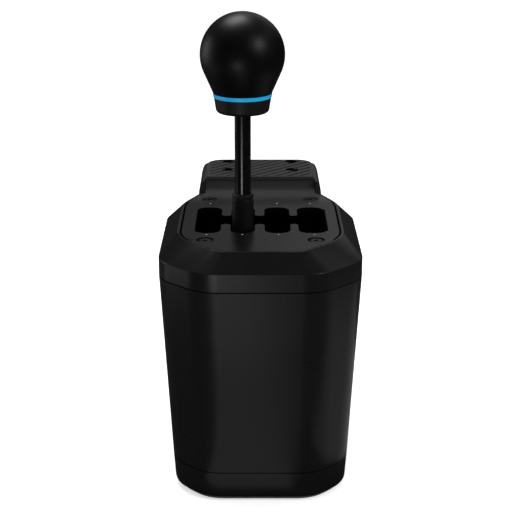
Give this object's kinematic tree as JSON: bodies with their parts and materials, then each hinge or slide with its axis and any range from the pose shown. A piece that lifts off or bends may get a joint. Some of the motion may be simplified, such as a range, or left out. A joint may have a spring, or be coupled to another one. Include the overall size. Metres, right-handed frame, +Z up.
{
  "type": "sim racing gear shifter",
  "caption": "Black H-pattern gear shifter for a sim rig: faceted tapering housing, slotted gate plate, rod lever with round knob and blue ring, and a ribbed desk-clamp hook at the back.",
  "frame": {"origin": "middle of the underside of the base pad, midway across and midway along the housing", "axes": "+X to the driver's right, +Y to the rear where the clamp is, +Z up along the lever"},
  "size_m": [0.1216, 0.1955, 0.2875],
  "materials": {
    "shell": "satin moulded",
    "bezel": "satin moulded",
    "plate": "fine matt powder coat",
    "screw": "satin",
    "rod": "gloss",
    "sleeve": "matt",
    "knob": "satin",
    "ring": "gloss",
    "rubber": "matt",
    "grip": "matt, ribbed",
    "bracket": "fine matt powder coat",
    "chassis": "satin",
    "yoke": "machined",
    "bush": "plain",
    "axle": "ground",
    "spring": "drawn wire",
    "detent": "plain",
    "magnet": "plated",
    "board": "solder mask"
  },
  "bodies": {
    "housing": {"base_pad": "rubber", "base_cover": "shell", "base_screws": "screw", "main_shell": "shell", "top_bezel": "bezel", "gate_plate": "plate", "plate_screws": "screw", "chassis_frame": "chassis", "chassis_screws": "screw", "select_bushes": "bush", "detent_cradle": "detent", "select_springs": "spring", "select_sensor_board": "board", "main_board": "board", "usb_port": "magnet", "clamp_bracket": "bracket", "bracket_screws": "screw", "hook_grip_pad": "grip", "hook_under_pad": "rubber", "back_pad": "rubber", "clamp_nut": "bush"},
    "yoke": {"gimbal_yoke": "yoke", "select_axles": "axle", "select_magnet": "magnet", "lever_bushes": "bush", "gear_sensor_board": "board"},
    "lever": {"lever_hub": "axle", "lever_pin": "axle", "gear_magnet": "magnet", "lever_rod": "rod", "lever_sleeve": "sleeve", "knob_insert": "bush", "knob_collar": "sleeve", "knob_ring": "ring", "knob_body": "knob", "detent_spring": "spring"},
    "plunger": {"detent_plunger": "axle"},
    "clamp_foot": {"clamp_pad": "bracket", "clamp_pad_facing": "rubber"},
    "clamp_spindle": {"clamp_screw": "axle", "clamp_knob": "shell"}
  },
  "joints": [
    {"name": "gate_select", "type": "hinge", "parent": "housing", "child": "yoke", "pos_m": [-0.0108, 0, 0.04], "axis": [0, 1, 0], "range_deg": [-10.29, 19.95], "stiffness_Nm_per_rad": 3, "deforming": ["select_springs"]},
    {"name": "gear_engage", "type": "hinge", "parent": "yoke", "child": "lever", "pos_m": [-0.0108, 0, 0.04], "axis": [1, 0, 0], "range_deg": [-8.5, 8.5]},
    {"name": "detent_slide", "type": "slide", "parent": "lever", "child": "plunger", "axis": [0, 0, 1], "range_m": [0, 0.0012], "stiffness_N_per_m": 1500, "springref_m": -0.001, "deforming": ["detent_spring"]},
    {"name": "clamp_travel", "type": "slide", "parent": "housing", "child": "clamp_foot", "axis": [0, 0, 1], "range_m": [0, 0.04]},
    {"name": "clamp_turn", "type": "hinge", "parent": "clamp_foot", "child": "clamp_spindle", "pos_m": [0, 0.101, 0.06], "axis": [0, 0, 1], "range_deg": [0, 5760]}
  ],
  "couplings": [
    {"joint": "clamp_turn", "follows": "clamp_travel", "rad_per_m": 2513.3}
  ]
}
